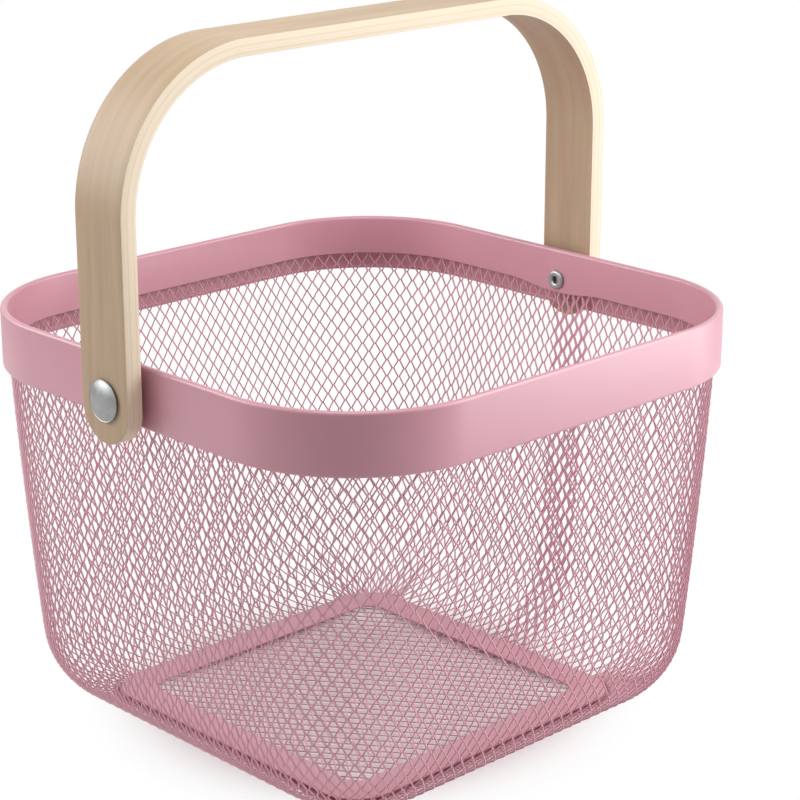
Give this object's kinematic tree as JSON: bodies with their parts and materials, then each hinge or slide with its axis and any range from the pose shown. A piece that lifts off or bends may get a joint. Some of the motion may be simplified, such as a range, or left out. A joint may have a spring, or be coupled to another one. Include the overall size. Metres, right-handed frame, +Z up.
{
  "type": "mesh storage basket",
  "caption": "Square open basket of diamond steel mesh with a folded rim band, a flat base ring and a bentwood handle that swings on rivets.",
  "frame": {"origin": "on the surface the basket stands on, below the middle of the basket", "axes": "+Z up; X runs through both handle rivets; +Y across the handle"},
  "size_m": [0.2758, 0.25, 0.3],
  "materials": {
    "rim_coat": "satin pink powder coat on folded sheet steel",
    "wall_coat": "satin pink powder coat on expanded steel mesh",
    "base_coat": "satin pink powder coat on flat sheet steel",
    "floor_coat": "satin pink powder coat on flattened expanded steel mesh",
    "ring_coat": "satin pink powder coat on flat sheet steel",
    "bent_birch": "clear matt lacquer on glued birch veneers",
    "rivet_steel": "satin zinc-plated steel",
    "washer_nylon": "natural white nylon"
  },
  "bodies": {
    "basket": {"rim_band": "rim_coat", "wall_mesh": "wall_coat", "base_ring": "base_coat", "floor_mesh": "floor_coat", "clamp_ring": "ring_coat", "rivet_front": "rivet_steel", "rivet_back": "rivet_steel", "washer_front": "washer_nylon", "washer_back": "washer_nylon"},
    "handle": {"handle": "bent_birch"}
  },
  "joints": [
    {"name": "handle_swing", "type": "hinge", "parent": "basket", "child": "handle", "pos_m": [0, 0, 0.166], "axis": [1, 0, 0], "range_deg": [-101, 101]}
  ]
}
